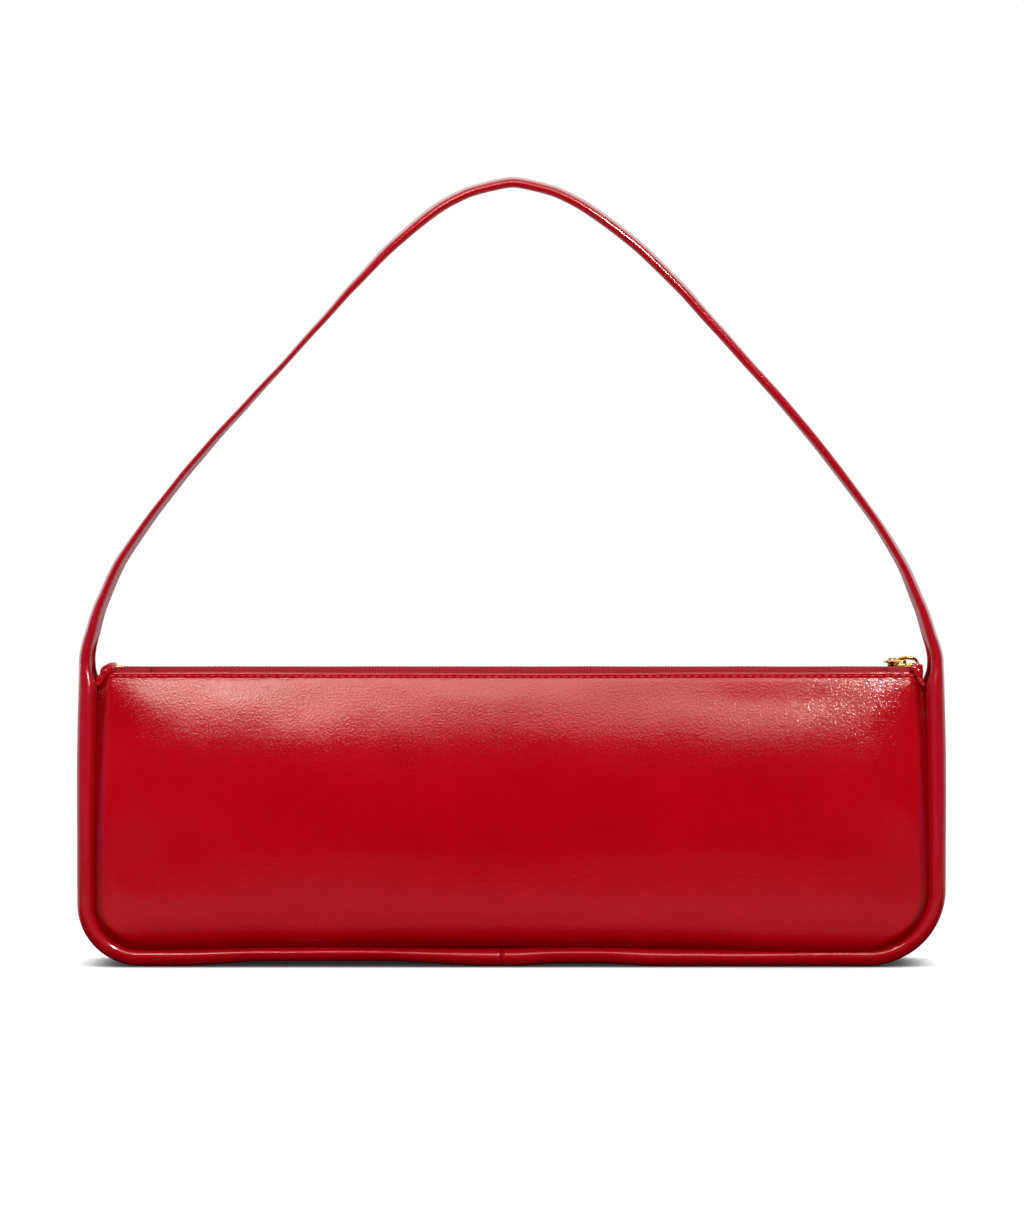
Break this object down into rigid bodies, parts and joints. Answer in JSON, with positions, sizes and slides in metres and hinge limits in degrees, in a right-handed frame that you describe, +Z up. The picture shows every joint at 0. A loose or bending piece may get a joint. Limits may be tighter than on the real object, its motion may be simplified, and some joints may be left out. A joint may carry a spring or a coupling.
{
  "type": "baguette shoulder bag",
  "caption": "Long low leather shoulder bag with pillowed panels, a raised rim that runs on as the strap, and a metal zip across the top.",
  "frame": {"origin": "middle of the bag's length and depth, on the surface it stands on", "axes": "+Z up, +X along the bag to its right end as seen from the front, where the zip's slider stands; the front faces -Y"},
  "size_m": [0.3482, 0.062, 0.3197],
  "materials": {
    "red_leather": "gloss",
    "foam": "matte",
    "lining_cloth": "matte",
    "filler_cord": "matte",
    "fibreboard": "matte",
    "thread": "satin",
    "zip_tape": "matte",
    "gold_metal": "polished",
    "strap_filler": "matte"
  },
  "bodies": {
    "bag_body": {"front_panel": "red_leather", "back_panel": "red_leather", "front_padding": "foam", "back_padding": "foam", "front_lining": "lining_cloth", "back_lining": "lining_cloth", "gusset_left": "red_leather", "gusset_right": "red_leather", "gusset_lining": "lining_cloth", "rim_cord_front": "filler_cord", "rim_cord_back": "filler_cord", "base_board": "fibreboard", "slip_pocket": "lining_cloth", "top_stitching_front": "thread", "top_stitching_back": "thread", "zip_tape_front": "zip_tape", "zip_tape_back": "zip_tape", "zip_end_teeth": "gold_metal", "zip_bottom_stop": "gold_metal", "zip_top_stops": "gold_metal", "zip_end_tab_left": "red_leather", "zip_end_tab_right": "red_leather", "strap_root_left": "red_leather", "strap_root_right": "red_leather"},
    "mouth_front": {"zip_flap_front": "zip_tape", "zip_teeth_front": "gold_metal"},
    "mouth_back": {"zip_flap_back": "zip_tape", "zip_teeth_back": "gold_metal"},
    "slider": {"slider_body": "gold_metal", "slider_bail": "gold_metal"},
    "ring": {"puller_ring": "gold_metal"},
    "tab": {"pull_tab": "gold_metal"},
    "strap": {"strap_outer": "red_leather", "strap_core": "strap_filler", "strap_inner": "red_leather"}
  },
  "joints": [
    {"name": "zip_slide", "type": "slide", "parent": "bag_body", "child": "slider", "axis": [1, 0, 0], "range_m": [-0.312, 0], "deforming": ["zip_teeth_front", "zip_teeth_back", "zip_end_teeth"]},
    {"name": "ring_tilt", "type": "hinge", "parent": "slider", "child": "ring", "pos_m": [0.15595, 0, 0.12185], "axis": [1, 0, 0], "range_deg": [0, 8]},
    {"name": "tab_swing", "type": "hinge", "parent": "ring", "child": "tab", "pos_m": [0.15595, 0.00805, 0.12185], "axis": [1, 0, 0], "range_deg": [0, 180]},
    {"name": "strap_fold", "type": "hinge", "parent": "bag_body", "child": "strap", "pos_m": [0, 0, 0.121], "axis": [1, 0, 0], "range_deg": [-90, 90], "deforming": ["strap_root_left", "strap_root_right"]},
    {"name": "mouth_front_fold", "type": "hinge", "parent": "bag_body", "child": "mouth_front", "pos_m": [0, -0.0056, 0.11885], "axis": [1, 0, 0], "range_deg": [0, 110]},
    {"name": "mouth_back_fold", "type": "hinge", "parent": "bag_body", "child": "mouth_back", "pos_m": [0, 0.0056, 0.11885], "axis": [-1, 0, 0], "range_deg": [0, 110]}
  ]
}
